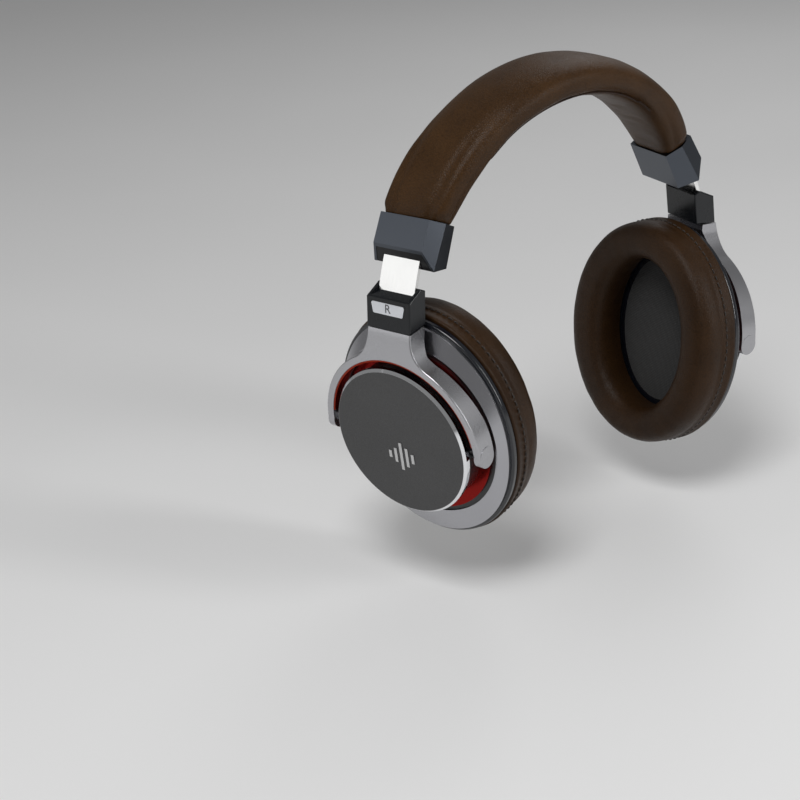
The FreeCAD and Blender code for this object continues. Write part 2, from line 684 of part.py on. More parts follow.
def cap_emblem():
    """Five plain sound-level bars standing on the cap."""
    count = len(MARK_BAR_HALF_HEIGHTS)
    bars = []
    for index, half_height in enumerate(MARK_BAR_HALF_HEIGHTS):
        y = (index - (count - 1) / 2) * MARK_BAR_PITCH
        half = MARK_BAR_WIDTH / 2
        bottom, top = -MARK_DROP - half_height, -MARK_DROP + half_height
        bars.append(box(0.0, MARK_RAISE, y - half, y + half, bottom, top))
    return Part.makeCompound(bars)


def jack_room():
    """Squared room that the jack block fills in the left cup."""
    gap = 0.1
    return box(
        -JACK_DEPTH - JACK_HALF - gap, -JACK_DEPTH + JACK_HALF + gap,
        -JACK_HALF - gap, JACK_HALF + gap, JACK_MOUTH - 2, JACK_TOP + gap,
    )


def back_drum(left):
    drum = fused([disc(DRUM_FRONT, DRUM_BACK, DRUM_R), disc(FLANGE_FRONT, DRUM_BACK, FLANGE_R)])
    drum = drum.cut(disc(DRUM_FRONT + DRUM_WALL, DRUM_BACK + 1, DRUM_R - DRUM_WALL))
    drum = drum.cut(disc(DRUM_FRONT - 1, DRUM_FRONT + DRUM_WALL + 1, BOSS_R + 0.05))
    for side in (-1, 1):
        base = Vector(-PIVOT_DEPTH, side * 30.0, 0)
        drum = drum.cut(Part.makeCylinder(PIVOT_R + 0.05, 8.0, base, Vector(0, -side, 0)))
    if left:
        drum = drum.cut(jack_room())
    return drum


def accent_ring(left):
    body = ring(ACCENT_FRONT, FLANGE_FRONT, DRUM_R, ACCENT_R)
    if left:
        body = body.cut(jack_room())
    return body


def screw_spots():
    return [(y, z) for y in (-SCREW_Y, SCREW_Y) for z in (-SCREW_Z - OVAL_DROP, SCREW_Z - OVAL_DROP)]


def baffle_screws():
    screws = []
    for y, z in screw_spots():
        base = Vector(-RIM_BACK, y, z)
        screws.append(screw(base, Vector(1, 0, 0), SCREW_R, SCREW_LENGTH, SCREW_HEAD_R, SCREW_HEAD))
    return Part.makeCompound(screws)


def cup_housing(left):
    """Silver dish: a round mouth that flares to the oval edge, with a ledge for the drum."""
    mouth = oval_wire(DISH_FRONT, DISH_TOP_R, DISH_TOP_R + 0.01, 0)
    flare = Part.makeLoft([mouth, oval_wire(DISH_EDGE_DEPTH, DISH_HALF_WIDTH, DISH_HALF_HEIGHT)], True, True)
    edge = oval_plate(DISH_EDGE_DEPTH, DISH_BACK, DISH_HALF_WIDTH, DISH_HALF_HEIGHT)
    outer = fused([flare, edge])
    cavity = Part.makeLoft(
        [
            oval_wire(LEDGE_BACK, DISH_TOP_R - DISH_WALL - 0.1, DISH_TOP_R - DISH_WALL + 0.5, 0),
            oval_wire(DISH_BACK + 0.01, DISH_HALF_WIDTH - DISH_WALL, DISH_HALF_HEIGHT - DISH_WALL),
        ],
        True, True,
    )
    posts = [disc(LEDGE_FRONT, DISH_BACK, POST_R, y, z).common(outer) for y, z in screw_spots()]
    body = fused([outer.cut(cavity)] + posts)
    body = body.cut(disc(DISH_FRONT - 1, LEDGE_FRONT, FLANGE_R + 0.1))
    body = body.cut(disc(DISH_FRONT - 1, DISH_BACK + 1, LEDGE_INNER_R))
    for item in baffle_screws().Solids:
        body = body.cut(item)
    if left:
        body = body.cut(jack_room())
    return body


def baffle():
    rim = oval_plate(DISH_BACK, RIM_BACK, RIM_HALF_WIDTH, RIM_HALF_HEIGHT)
    edges = [edge for edge in rim.Edges if edge.Length > 100]
    rim = rim.makeFillet(RIM_ROUND, edges)
    rim = rim.cut(disc(DISH_BACK - 1, RIM_BACK + 1, DRIVER_R + 0.1))
    for item in baffle_screws().Solids:
        rim = rim.cut(item)
    return rim


def driver_frame():
    body = ring(DRIVER_FRONT, DRIVER_BACK, DIAPHRAGM_R + 0.6, DRIVER_R)
    back = ring(DRIVER_FRONT, DRIVER_FRONT + 1.0, MAGNET_R - 3, DRIVER_R)
    flange = ring(DISH_BACK - 1.0, DISH_BACK, DRIVER_R - 0.1, DRIVER_R + 2.4)
    return fused([body, back, flange])


def driver_magnet():
    return disc(MAGNET_FRONT, DRIVER_FRONT, MAGNET_R)


def driver_diaphragm():
    """Thin cone with a raised dome, held at its rim by the driver frame."""
    thickness = 0.3
    profile = [
        (16.6, DIAPHRAGM_R + 0.6), (16.6, DIAPHRAGM_R - 2.4), (15.4, 11.0), (16.4, 5.0), (16.6, 0.0),
    ]
    front = [Vector(-depth, 0, radius) for depth, radius in profile]
    behind = [Vector(-depth + thickness, 0, radius) for depth, radius in reversed(profile)]
    face = Part.Face(Part.makePolygon(front + behind + [front[0]]))
    return face.revolve(Vector(0, 0, 0), Vector(1, 0, 0), 360)


def driver_grille():
    """Round perforated plate over the driver."""
    plate = disc(DRIVER_BACK + 0.1, DRIVER_BACK + 0.1 + GRILLE_THICKNESS, DRIVER_R)
    holes = [disc(DRIVER_BACK - 1, DRIVER_BACK + 2, GRILLE_HOLE_R)]
    for count, radius in ((6, 5.0), (12, 10.0), (18, 15.0)):
        for index in range(count):
            turn = 2 * math.pi * index / count
            y, z = radius * math.cos(turn), radius * math.sin(turn)
            holes.append(disc(DRIVER_BACK - 1, DRIVER_BACK + 2, GRILLE_HOLE_R, y, z))
    return plate.cut(Part.makeCompound(holes))


def pad_solid(inset):
    """Rounded oval cushion ring, drawn in from its skin by inset."""
    front, back = RIM_BACK + inset, RIM_BACK + PAD_THICKNESS - inset
    pad = oval_plate(front, back, PAD_HALF_WIDTH - inset, PAD_HALF_HEIGHT - inset)
    opening = oval_plate(front - 1, back + 1, PAD_OPEN_HALF_WIDTH + inset, PAD_OPEN_HALF_HEIGHT + inset)
    outer_edges = [edge for edge in pad.Edges if edge.Length > 100]
    pad = pad.makeFillet(PAD_OUTER_ROUND - inset, outer_edges)
    pad = pad.cut(opening)
    face_side = [
        edge for edge in pad.Edges
        if edge.Length > 100 and abs(edge.CenterOfMass.x + back) < 0.01
        and edge.BoundBox.YLength < 2 * (PAD_OPEN_HALF_WIDTH + inset) + 0.1
    ]
    return pad.makeFillet(PAD_INNER_ROUND - inset, face_side)


def ear_pad_cover():
    return pad_solid(0.0).cut(pad_solid(PAD_SKIN))


def ear_cloth():
    return oval_plate(RIM_BACK + 0.1, RIM_BACK + 0.7, PAD_OPEN_HALF_WIDTH - 0.3, PAD_OPEN_HALF_HEIGHT - 0.3)


def jack_socket():
    block = box(
        -JACK_DEPTH - JACK_HALF, -JACK_DEPTH + JACK_HALF, -JACK_HALF, JACK_HALF, JACK_MOUTH, JACK_TOP
    )
    mouth_edges = [
        edge for edge in block.Edges
        if abs(edge.CenterOfMass.z - JACK_MOUTH) < 0.01
    ]
    block = block.makeChamfer(0.8, mouth_edges)
    bore = Part.makeCylinder(JACK_BORE_R, JACK_BORE_LENGTH, Vector(-JACK_DEPTH, 0, JACK_MOUTH))
    return block.cut(bore)


def jack_board():
    """Small circuit board above the jack socket."""
    back = -BOARD_DEPTH - BOARD_THICKNESS
    return box(back, -BOARD_DEPTH, -BOARD_HALF_WIDTH, BOARD_HALF_WIDTH, BOARD_BOTTOM, BOARD_TOP)


# ---- Placing -------------------------------------------------------------------------------------------------
def side_matrix():
    lean = FreeCAD.Placement(Vector(SIDE_X, 0, SIDE_Z), Rotation(Vector(0, 1, 0), SIDE_LEAN))
    return lean.toMatrix()


def untoed(shape):
    """Undo the toe-in, to fit a placed part to one that is still in the left side's own plane."""
    turned = shape.copy()
    turned.rotate(Vector(TOE_AXIS_X, 0, 0), Vector(0, 0, 1), TOE)
    return turned


def placed(shape, side, swivels):
    """Move a part from the ear-side frame to its place on the headphones."""
    moved = shape.copy()
    if swivels:
        moved.rotate(Vector(-SWIVEL_DEPTH, 0, 0), Vector(0, 0, 1), REST_SWIVEL[side])
    moved = toed(moved.transformed(side_matrix(), True))
    return moved if side == "left" else mirrored(moved)


def mirrored(shape):
    return shape.mirror(Vector(0, 0, 0), Vector(1, 0, 0))


def build():
    os.makedirs("parts", exist_ok=True)
    cover, foam = headband_parts()
    export(cover, "headband_cover")
    export(foam, "headband_foam")
    export(headband_spring(), "headband_spring")
    export(signal_lead(), "signal_lead")

    band_ends = {
        "end_cap": end_cap(),
        "slider_guide": slider_guide(),
        "detent_spring": detent_spring(),
        "end_cap_screws": cap_screws(),
        "slider_strip": slider_strip(),
    }
    arm_parts = {
        "hinge_block": hinge_block(),
        "side_plate": side_plate(),
        "hinge_screws": hinge_screws(),
    }
    yoke_parts = {
        "yoke": yoke(),
        "yoke_liner": yoke_liner(),
        "swivel_pin": swivel_pin(),
        "swivel_clip": swivel_clip(),
        "pivot_pins": pivot_pins(),
    }
    cup_parts = {
        "outer_cap": outer_cap(),
        "cap_emblem": cap_emblem(),
        "baffle": baffle(),
        "driver_frame": driver_frame(),
        "driver_magnet": driver_magnet(),
        "driver_diaphragm": driver_diaphragm(),
        "driver_grille": driver_grille(),
        "ear_pad_cover": ear_pad_cover(),
        "ear_pad_foam": pad_solid(PAD_SKIN),
        "ear_cloth": ear_cloth(),
        "baffle_screws": baffle_screws(),
    }
    handed_parts = {
        "back_drum": back_drum,
        "accent_ring": accent_ring,
        "cup_housing": cup_housing,
    }
    for side in ("right", "left"):
        left = side == "left"
        for name, shape in band_ends.items():
            moved = toed(shape)
            export(moved if left else mirrored(moved), name + "_" + side)
        for name, shape in arm_parts.items():
            export(placed(shape, side, False), name + "_" + side)
        for name, shape in yoke_parts.items():
            export(placed(shape, side, True), name + "_" + side)
        for name, shape in cup_parts.items():
            export(placed(shape, side, True), name + "_" + side)
        for name, maker in handed_parts.items():
            export(placed(maker(left), side, True), name + "_" + side)
    export(placed(jack_socket(), "left", True), "jack_socket")
    export(placed(jack_board(), "left", True), "jack_board")


build()
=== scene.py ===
import json
import math

import bmesh
import bpy
from mathutils import Matrix, Vector, noise


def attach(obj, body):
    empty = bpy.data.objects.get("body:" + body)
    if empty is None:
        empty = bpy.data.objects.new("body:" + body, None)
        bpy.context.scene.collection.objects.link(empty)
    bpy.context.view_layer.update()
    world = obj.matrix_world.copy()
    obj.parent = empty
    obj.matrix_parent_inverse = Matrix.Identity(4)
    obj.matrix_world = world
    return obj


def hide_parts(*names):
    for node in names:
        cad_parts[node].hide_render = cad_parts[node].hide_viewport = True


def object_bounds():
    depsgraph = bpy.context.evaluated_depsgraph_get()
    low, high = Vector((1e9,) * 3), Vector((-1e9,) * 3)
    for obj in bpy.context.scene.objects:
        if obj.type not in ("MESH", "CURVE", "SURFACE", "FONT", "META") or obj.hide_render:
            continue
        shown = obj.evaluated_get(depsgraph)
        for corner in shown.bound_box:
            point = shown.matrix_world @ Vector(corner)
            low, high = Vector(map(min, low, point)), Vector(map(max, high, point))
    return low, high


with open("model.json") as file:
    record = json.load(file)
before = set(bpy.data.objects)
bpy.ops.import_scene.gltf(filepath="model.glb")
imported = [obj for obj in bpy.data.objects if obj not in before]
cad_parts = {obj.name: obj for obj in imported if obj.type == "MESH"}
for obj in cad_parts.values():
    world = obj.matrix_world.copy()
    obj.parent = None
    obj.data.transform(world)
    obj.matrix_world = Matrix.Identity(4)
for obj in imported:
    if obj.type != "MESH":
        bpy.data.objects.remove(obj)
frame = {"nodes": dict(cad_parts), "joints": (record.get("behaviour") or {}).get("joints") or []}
cad_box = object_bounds()

MM = 0.001
SIDES = ("right", "left")

# ---- Camera at the photograph's viewing angle ----------------------------------------------------
CAMERA_AT = Vector((-433.93, -451.07, 159.53)) * MM
CAMERA_RIGHT = Vector((0.7673, -0.6381, -0.0628))
CAMERA_DOWN = Vector((-0.3046, -0.2766, -0.9114))
CAMERA_AHEAD = Vector((0.5643, 0.7185, -0.4066))
CAMERA_LENS = 77.24
SENSOR = 36.0

# ---- Sizes shared with the CAD (mm and degrees) --------------------------------------------------
BAND_OUTER_R = 77.0
BAND_CENTRE_Z = -61.0
BAND_END_ANGLE = 64.5
CROWN_THICKNESS = 16.0
END_THICKNESS = 13.4
CROWN_HALF_WIDTH = 18.0
END_HALF_WIDTH = 13.2
END_FACE_HALF = 12.4
TOE = 11.6
BAND_END_SHIFT = 3.3
SWIVEL_DEPTH = 7.4
SWIVEL_HEIGHT = 45.0
PIVOT_DEPTH = 5.5
PLATE_DEPTH = 5.0
PLATE_PROUD = 0.2
PLATE_HEIGHT = 52.9
PLATE_LEAN = math.radians(11.1)
RIM_BACK = 18.2
OVAL_DROP = 1.4
PAD_HALF_WIDTH = 41.0
PAD_HALF_HEIGHT = 47.6
PAD_OPEN_HALF_WIDTH = 21.0
PAD_OPEN_HALF_HEIGHT = 30.0
PAD_THICKNESS = 18.4
DISC_R = 30.0
DISC_CHAMFER = 0.9


# ---- Camera, light and floor ---------------------------------------------------------------------
FLOOR_DROP = 22.0  # below the cups at rest: room for the arms to slide all the way out
FLOOR_REACH = 4.0  # metres each way from the middle
WORLD_STRENGTH = 0.22


def add_camera():
    """The photograph's camera, as fitted to it."""
    data = bpy.data.cameras.new("camera")
    data.lens = CAMERA_LENS
    data.sensor_width = SENSOR
    data.clip_start = 0.01
    camera = bpy.data.objects.new("camera", data)
    bpy.context.collection.objects.link(camera)
    columns = (CAMERA_RIGHT, -CAMERA_DOWN, -CAMERA_AHEAD)
    turn = Matrix([[column[row] for column in columns] for row in range(3)])
    camera.matrix_world = Matrix.Translation(CAMERA_AT) @ turn.to_4x4()
    bpy.context.scene.camera = camera


def add_area(name, at, aim, width, height, power):
    """A white rectangular light aimed at a point; sizes in metres, power in watts."""
    data = bpy.data.lights.new(name, "AREA")
    data.energy = power
    data.shape = "RECTANGLE"
    data.size = width
    data.size_y = height
    lamp = bpy.data.objects.new(name, data)
    bpy.context.collection.objects.link(lamp)
    lamp.location = at
    lamp.rotation_euler = (Vector(aim) - Vector(at)).to_track_quat("-Z", "Y").to_euler()


def add_lights():
    middle = (0.0, 0.0, -0.08)
    add_area("key", (-0.50, -0.30, 0.80), middle, 0.40, 0.40, 6.0)
    add_area("left_panel", (-1.0, 0.48, 0.20), (-0.08, 0.0, -0.05), 0.6, 0.65, 1.3)
    add_area("front_strip", (0.45, -0.90, 0.34), (-0.06, 0.0, -0.1), 0.20, 0.7, 4.0)
    add_area("back", (0.80, 0.45, 0.55), middle, 0.5, 0.5, 1.2)
    world = bpy.data.worlds.new("world")
    world.use_nodes = True
    world.node_tree.nodes["Background"].inputs["Color"].default_value = (1.0, 1.0, 1.0, 1.0)
    world.node_tree.nodes["Background"].inputs["Strength"].default_value = WORLD_STRENGTH
    bpy.context.scene.world = world
    bpy.context.scene.view_settings.view_transform = "Standard"


def add_floor():
    mesh = bpy.data.meshes.new("floor")
    level = cad_box[0][2] - FLOOR_DROP * MM
    corners = [(x * FLOOR_REACH, y * FLOOR_REACH, level) for x, y in ((-1, -1), (1, -1), (1, 1), (-1, 1))]
    mesh.from_pydata(corners, [], [(0, 1, 2, 3)])
    floor = bpy.data.objects.new("floor", mesh)
    bpy.context.collection.objects.link(floor)
    floor.data.materials.append(floor_material())


# ---- Node helpers --------------------------------------------------------------------------------
class Maker:
    """Builds one procedural material; every texture is laid out in the piece's own metres."""

    def __init__(self, name, **sockets):
        self.material = bpy.data.materials.new(name)
        self.material.use_nodes = True
        self.nodes = self.material.node_tree.nodes
        self.links = self.material.node_tree.links
        self.shader = self.nodes["Principled BSDF"]
        for socket, value in sockets.items():
            self.set(socket.replace("_", " "), value)
        self.where = self.add("ShaderNodeTexCoord").outputs["Object"]

    def add(self, kind, **values):
        node = self.nodes.new(kind)
        for key, value in values.items():
            setattr(node, key, value)
        return node

    def set(self, socket, value):
        if isinstance(value, tuple) and len(value) == 3:
            value = value + (1.0,)
        self.shader.inputs[socket].default_value = value

    def stretch(self, scale):
        node = self.add("ShaderNodeMapping")
        node.inputs["Scale"].default_value = scale
        self.links.new(self.where, node.inputs["Vector"])
        return node.outputs["Vector"]

    def noise(self, scale, detail=3.0, rough=0.5, vector=None):
        node = self.add("ShaderNodeTexNoise")
        node.inputs["Scale"].default_value = scale
        node.inputs["Detail"].default_value = detail
        node.inputs["Roughness"].default_value = rough
        self.links.new(vector or self.where, node.inputs["Vector"])
        return node.outputs["Fac"]

    def cells(self, scale):
        node = self.add("ShaderNodeTexVoronoi", feature="DISTANCE_TO_EDGE")
        node.inputs["Scale"].default_value = scale
        self.links.new(self.where, node.inputs["Vector"])
        return node.outputs["Distance"]

    def remap(self, value, low, high, to_low, to_high):
        node = self.add("ShaderNodeMapRange")
        node.inputs["From Min"].default_value = low
        node.inputs["From Max"].default_value = high
        node.inputs["To Min"].default_value = to_low
        node.inputs["To Max"].default_value = to_high
        self.links.new(value, node.inputs["Value"])
        return node.outputs["Result"]

    def math(self, operation, first, second):
        node = self.add("ShaderNodeMath", operation=operation)
        for index, value in enumerate((first, second)):
            if isinstance(value, (int, float)):
                node.inputs[index].default_value = value
            else:
                self.links.new(value, node.inputs[index])
        return node.outputs[0]

    def vector_math(self, operation, first, second=None):
        node = self.add("ShaderNodeVectorMath", operation=operation)
        for index, value in enumerate((first, second)):
            if value is None:
                continue
            if isinstance(value, (tuple, Vector)):
                node.inputs[index].default_value = tuple(value)
            else:
                self.links.new(value, node.inputs[index])
        return node.outputs["Value"] if operation in ("LENGTH", "DOT_PRODUCT") else node.outputs["Vector"]

    def mix(self, factor, first, second):
        node = self.add("ShaderNodeMix", data_type="RGBA")
        for socket, value in ((0, factor), (6, first), (7, second)):
            if isinstance(value, tuple):
                node.inputs[socket].default_value = value + (1.0,) * (4 - len(value))
            elif isinstance(value, (int, float)):
                node.inputs[socket].default_value = value
            else:
                self.links.new(value, node.inputs[socket])
        return node.outputs[2]

    def colour(self, value):
        self.links.new(value, self.shader.inputs["Base Color"])

    def roughness(self, value):
        self.links.new(value, self.shader.inputs["Roughness"])

    def bump(self, height, distance, strength):
        node = self.add("ShaderNodeBump")
        node.inputs["Strength"].default_value = strength
        node.inputs["Distance"].default_value = distance
        self.links.new(height, node.inputs["Height"])
        self.links.new(node.outputs["Normal"], self.shader.inputs["Normal"])


# ---- Materials -----------------------------------------------------------------------------------
def floor_material():
    maker = Maker("floor", Base_Color=(0.82, 0.82, 0.82), Roughness=0.55)
    maker.roughness(maker.remap(maker.noise(6.0), 0.3, 0.7, 0.5, 0.62))
    return maker.material


def leather(name, dark, light, rough):
    """Fine-grained leather: small raised cells, creases between them, a little wear in tone and gloss."""
    maker = Maker(name, IOR=1.42, Specular_IOR_Level=0.22)
    cloudy = maker.noise(45.0, 4.0, 0.6)
    warp = maker.noise(600.0, 2.0, 0.5)
    pebbles = maker.cells(1250.0)
    fine = maker.noise(3000.0, 2.0, 0.6)
    tone = maker.mix(maker.remap(cloudy, 0.3, 0.7, 0.0, 1.0), dark, light)
    crease = maker.remap(pebbles, 0.0, 0.14, 0.55, 1.0)
    shaded = maker.add("ShaderNodeMix", data_type="RGBA", blend_type="MULTIPLY")
    shaded.inputs[0].default_value = 1.0
    maker.links.new(tone, shaded.inputs[6])
    maker.links.new(crease, shaded.inputs[7])
    maker.colour(shaded.outputs[2])
    worn = maker.math("ADD", cloudy, maker.math("MULTIPLY", fine, 0.4))
    maker.roughness(maker.remap(worn, 0.4, 1.0, rough - 0.05, rough + 0.08))
    raised = maker.remap(pebbles, 0.0, 0.3, 0.0, 1.0)
    grain = maker.math("ADD", raised, maker.math("MULTIPLY", fine, 0.12))
    grain = maker.math("ADD", grain, maker.math("MULTIPLY", warp, 0.6))
    maker.bump(grain, 0.00010, 0.55)
    return maker.material


EVEN_GRAIN = (5000.0, 5000.0, 5000.0)


def plain_metal(name, colour, rough, spread=0.05, grain=EVEN_GRAIN, depth=0.000001, **sockets):
    """Satin metal with slight cloudiness and a fine finish; grain may stretch the finish one way."""
    maker = Maker(name, Metallic=1.0, **sockets)
    cloudy = maker.noise(35.0, 3.0, 0.5)
    fine = maker.noise(1.0, 2.0, 0.55, maker.stretch(grain))
    dark = tuple(channel * 0.93 for channel in colour)
    maker.colour(maker.mix(maker.remap(fine, 0.3, 0.7, 0.0, 1.0), dark, colour))
    mixed = maker.math("ADD", maker.math("MULTIPLY", cloudy, 0.6), maker.math("MULTIPLY", fine, 0.4))
    maker.roughness(maker.remap(mixed, 0.35, 0.65, rough - spread / 2, rough + spread / 2))
    maker.bump(fine, depth, 0.5)
    return maker.material


def plastic(name, colour, rough, grain=1400.0, depth=0.00003, **sockets):
    """Moulded plastic with a fine spark-eroded texture."""
    maker = Maker(name, IOR=1.5, **sockets)
    fine = maker.noise(grain, 2.0, 0.5)
    cloudy = maker.noise(70.0, 3.0, 0.5)
    light = tuple(min(1.0, channel * 1.35) for channel in colour)
    maker.colour(maker.mix(maker.remap(cloudy, 0.3, 0.7, 0.0, 1.0), colour, light))
    maker.roughness(maker.remap(cloudy, 0.3, 0.7, rough - 0.05, rough + 0.05))
    maker.bump(fine, depth, 0.5)
    return maker.material


def cap_disc_metal(name, ear):
    """Dark brushed disc with a polished chamfer round its edge."""
    maker = Maker(name, Metallic=1.0)
    offset = maker.vector_math("SUBTRACT", maker.where, tuple(ear.origin))
    reach = maker.vector_math("LENGTH", maker.vector_math("CROSS_PRODUCT", offset, tuple(ear.outward)))
    chamfer_r = DISC_R - DISC_CHAMFER
    edge = maker.remap(reach, (chamfer_r - 0.1) * MM, (chamfer_r + 0.05) * MM, 0.0, 1.0)
    speckle = maker.noise(3200.0, 2.0, 0.6)
    cloudy = maker.noise(25.0, 2.0, 0.5)
    spots = maker.remap(speckle, 0.3, 0.7, 0.0, 1.0)
    face = maker.mix(spots, (0.080, 0.080, 0.081), (0.115, 0.115, 0.116))
    maker.colour(maker.mix(edge, face, (0.85, 0.86, 0.88)))
    satin = maker.remap(cloudy, 0.3, 0.7, 0.36, 0.44)
    polish = maker.math("MULTIPLY", maker.math("SUBTRACT", 1.0, edge), satin)
    maker.roughness(maker.math("ADD", polish, 0.06))
    maker.bump(maker.math("MULTIPLY", speckle, maker.math("SUBTRACT", 1.0, edge)), 0.00002, 0.5)
    return maker.material


def cloth(name, dark, light):
    """Open woven cloth: crossing threads about 0.7 mm apart."""
    maker = Maker(name, Roughness=0.9, Sheen_Weight=0.25, Sheen_Roughness=0.5)
    waves = []
    for direction in ("Y", "Z"):
        node = maker.add("ShaderNodeTexWave", bands_direction=direction)
        node.inputs["Scale"].default_value = 450.0
        node.inputs["Distortion"].default_value = 0.6
        maker.links.new(maker.where, node.inputs["Vector"])
        waves.append(node.outputs["Fac"])
    weave = maker.math("MULTIPLY", waves[0], waves[1])
    maker.colour(maker.mix(weave, dark, light))
    maker.bump(weave, 0.00015, 0.8)
    return maker.material


# ---- Ear-side frames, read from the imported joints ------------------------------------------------
class Ear:
    """The cup's own frame: outward from the cap's face, across fore and aft, and up."""

    def __init__(self, side):
        joints = {joint["name"]: joint for joint in frame["joints"]}
        tilt = joints["cup_tilt_" + side]
        swivel = joints["cup_swivel_" + side]
        self.side = side
        self.sign = -1 if side == "right" else 1
        across = Vector(tilt["axis"]).normalized()
        up = Vector(swivel["axis"]).normalized()
        self.across = across if across.y > 0 else -across
        self.up = up if up.z > 0 else -up
        outward = self.across.cross(self.up).normalized()
        self.outward = outward if outward.x * self.sign > 0 else -outward
        self.origin = Vector(tilt["pos_m"]) + self.outward * PIVOT_DEPTH * MM

    def point(self, depth, y, z):
        """World position of a point given in millimetres: depth behind the face, fore and aft, height."""
        return self.origin + (self.across * y + self.up * z - self.outward * depth) * MM


class Arm:
    """The hinge block's frame, which slides with the arm but doesn't turn with the cup."""

    def __init__(self, side):
        joints = {joint["name"]: joint for joint in frame["joints"]}
        sign = -1 if side == "right" else 1
        across = Vector(joints["slider_extend_" + side]["axis"]).normalized()
        up = Vector(joints["cup_swivel_" + side]["axis"]).normalized()
        self.up = up if up.z > 0 else -up
        outward = across.cross(self.up).normalized()
        self.outward = outward if outward.x * sign > 0 else -outward
        pin = Vector(joints["cup_swivel_" + side]["pos_m"])
        self.origin = pin + (self.outward * SWIVEL_DEPTH - self.up * SWIVEL_HEIGHT) * MM


EARS = {side: Ear(side) for side in SIDES}


# ---- Mesh helpers and padding --------------------------------------------------------------------
SIM_FRAMES = 20
SIM_QUALITY = 5
SIM_MASS = 0.3
SIM_PRESSURE = 4.0
SMOOTHING_STEPS = 4
LOOP_STEPS = 24


def make_object(name, verts, faces, body, material):
    """A smooth-shaded piece that rides on a body, with its faces turned outward."""
    mesh = bpy.data.meshes.new(name)
    mesh.from_pydata([tuple(v) for v in verts], [], faces)
    tidy = bmesh.new()
    tidy.from_mesh(mesh)
    bmesh.ops.recalc_face_normals(tidy, faces=tidy.faces)
    tidy.to_mesh(mesh)
    tidy.free()
    for polygon in mesh.polygons:
        polygon.use_smooth = True
    piece = bpy.data.objects.new(name, mesh)
    bpy.context.collection.objects.link(piece)
    piece.data.materials.append(material)
    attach(piece, body)
    return piece


def grid_faces(rows, columns, close_rows, close_columns=True):
    """Quads between rows of points; rows and columns may wrap round."""
    faces = []
    for row in range(rows if close_rows else rows - 1):
        following = (row + 1) % rows
        for column in range(columns if close_columns else columns - 1):
            beside = (column + 1) % columns
            faces.append((
                row * columns + column, row * columns + beside,
                following * columns + beside, following * columns + column,
            ))
    return faces


def superpoint(turn, power):
    """Point of a rounded square at an angle; power 1 gives a circle, and less gives squarer corners."""
    cos, sin = math.cos(turn), math.sin(turn)
    return math.copysign(abs(cos) ** power, cos), math.copysign(abs(sin) ** power, sin)


def smoothstep(low, high, value):
    """0 up to low, 1 from high on, and a smooth rise between them."""
    share = min(1.0, max(0.0, (value - low) / (high - low)))
    return share * share * (3 - 2 * share)


def baked(piece):
    """Replace the piece's mesh with the result of its modifiers."""
    graph = bpy.context.evaluated_depsgraph_get()
    mesh = bpy.data.meshes.new_from_object(piece.evaluated_get(graph))
    piece.modifiers.clear()
    piece.data = mesh
    for polygon in mesh.polygons:
        polygon.use_smooth = True


def puff(piece, held, most):
    """Swell a padded piece by cloth simulation; held is each vertex's hold, and most caps its travel."""
    start = [vertex.co.copy() for vertex in piece.data.vertices]
    group = piece.vertex_groups.new(name="held")
    for index, hold in enumerate(held):
        group.add([index], hold, "REPLACE")
    cloth_modifier = piece.modifiers.new("cloth", "CLOTH")
    settings = cloth_modifier.settings
    settings.quality = SIM_QUALITY
    settings.mass = SIM_MASS
    settings.use_pressure = True
    settings.uniform_pressure_force = SIM_PRESSURE
    settings.effector_weights.gravity = 0.0
    settings.vertex_group_mass = group.name
    cloth_modifier.point_cache.frame_start = 1
    cloth_modifier.point_cache.frame_end = SIM_FRAMES
    for step in range(1, SIM_FRAMES + 1):
        bpy.context.scene.frame_set(step)
    baked(piece)
    for vertex, before in zip(piece.data.vertices, start):
        travel = vertex.co - before
        if travel.length > most:
            vertex.co = before + travel.normalized() * most
    bpy.context.scene.frame_set(1)
    smoothing = piece.modifiers.new("smooth", "SMOOTH")
    smoothing.iterations = SMOOTHING_STEPS
    smoothing.vertex_group = group.name
    smoothing.invert_vertex_group = True
    baked(piece)
    piece.vertex_groups.clear()


def subdivided(piece):
    piece.modifiers.new("smooth", "SUBSURF").levels = 1
    baked(piece)


def smooth_loop(points, count):
    """Evenly spaced points on the closed smooth curve through a few given points."""
    dense = []
    total = len(points)
    for index in range(total):
        near = [Vector(points[(index + shift) % total]) for shift in (-1, 0, 1, 2)]
        before, first, second, after = near
        for step in range(LOOP_STEPS):
            t = step / LOOP_STEPS
            dense.append(0.5 * (
                2 * first + (second - before) * t + (2 * before - 5 * first + 4 * second - after) * t ** 2
                + (3 * first - before - 3 * second + after) * t ** 3
            ))
    lengths = [0.0]
    for index in range(len(dense)):
        lengths.append(lengths[-1] + (dense[(index + 1) % len(dense)] - dense[index]).length)
    even = []
    at = 0
    for index in range(count):
        wanted = lengths[-1] * index / count
        while lengths[at + 1] < wanted:
            at += 1
        share = (wanted - lengths[at]) / (lengths[at + 1] - lengths[at])
        even.append(dense[at].lerp(dense[(at + 1) % len(dense)], share))
    return even


def tube(path, radius, sides, closed):
    """Vertices and faces of a round tube along a list of points."""
    verts = []
    count = len(path)
    for index, point in enumerate(path):
        after = path[(index + 1) % count] if closed or index < count - 1 else point
        before = path[index - 1] if closed or index > 0 else point
        along = (after - before).normalized()
        side = along.orthogonal() if index == 0 else (side - along * side.dot(along))
        side.normalize()
        other = along.cross(side)
        for step in range(sides):
            turn = 2 * math.pi * step / sides
            verts.append(point + (side * math.cos(turn) + other * math.sin(turn)) * radius)
    faces = grid_faces(count, sides, closed)
    if not closed:
        faces.append(tuple(range(sides)))
        faces.append(tuple(range((count - 1) * sides, count * sides)))
    return verts, faces


